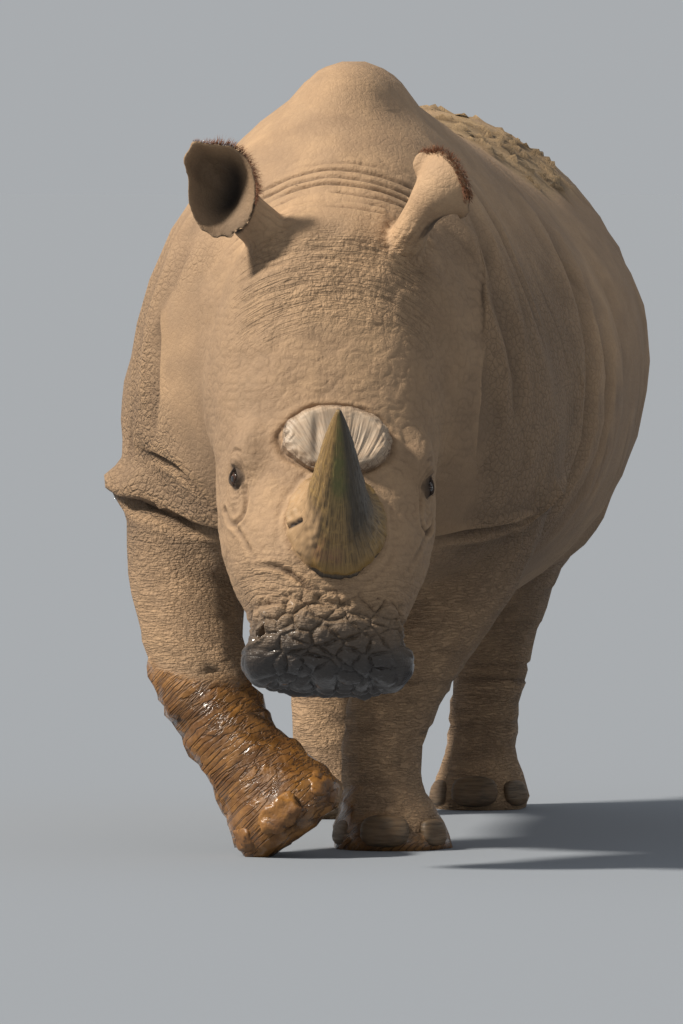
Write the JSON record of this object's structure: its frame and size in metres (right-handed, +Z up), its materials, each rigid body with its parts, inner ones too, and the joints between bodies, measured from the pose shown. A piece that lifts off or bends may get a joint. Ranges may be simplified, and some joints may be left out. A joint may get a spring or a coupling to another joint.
{
  "type": "white rhinoceros",
  "caption": "Life-size still white rhinoceros, walking with its head lowered: curved front horn, flat sawn rear horn, shoulder hump, barrel body, thick legs and cupped ears.",
  "frame": {"origin": "middle of the animal's ground outline, on the ground", "axes": "+Z up, +Y from the muzzle towards the rump, +X towards the animal's left"},
  "size_m": [1.1004, 3.0254, 1.7312],
  "materials": {
    "hide": "thick dry wrinkled skin, tan to grey, with wet ochre mud on the feet",
    "ear_skin": "thin dry skin with a short fringe of reddish hair",
    "horn": "dry worn fibrous horn, olive brown to black",
    "sawn_horn": "pale sawn horn, dry and flaking at the rim",
    "nail": "worn dull toenail",
    "eye": "wet dark eye"
  },
  "bodies": {
    "root": {"ear_left": "ear_skin", "ear_right": "ear_skin", "eye_left": "eye", "eye_right": "eye", "forefoot_left": "hide", "forefoot_right": "hide", "foreleg_left": "hide", "foreleg_right": "hide", "head": "hide", "hindfoot_left": "hide", "hindfoot_right": "hide", "hindleg_left": "hide", "hindleg_right": "hide", "horn_front": "horn", "horn_rear_stump": "sawn_horn", "nail_fore_left_left": "nail", "nail_fore_left_middle": "nail", "nail_fore_left_right": "nail", "nail_fore_right_left": "nail", "nail_fore_right_middle": "nail", "nail_fore_right_right": "nail", "nail_hind_left_left": "nail", "nail_hind_left_middle": "nail", "nail_hind_left_right": "nail", "nail_hind_right_left": "nail", "nail_hind_right_middle": "nail", "nail_hind_right_right": "nail", "neck": "hide", "tail": "hide", "trunk": "hide"}
  },
  "joints": []
}
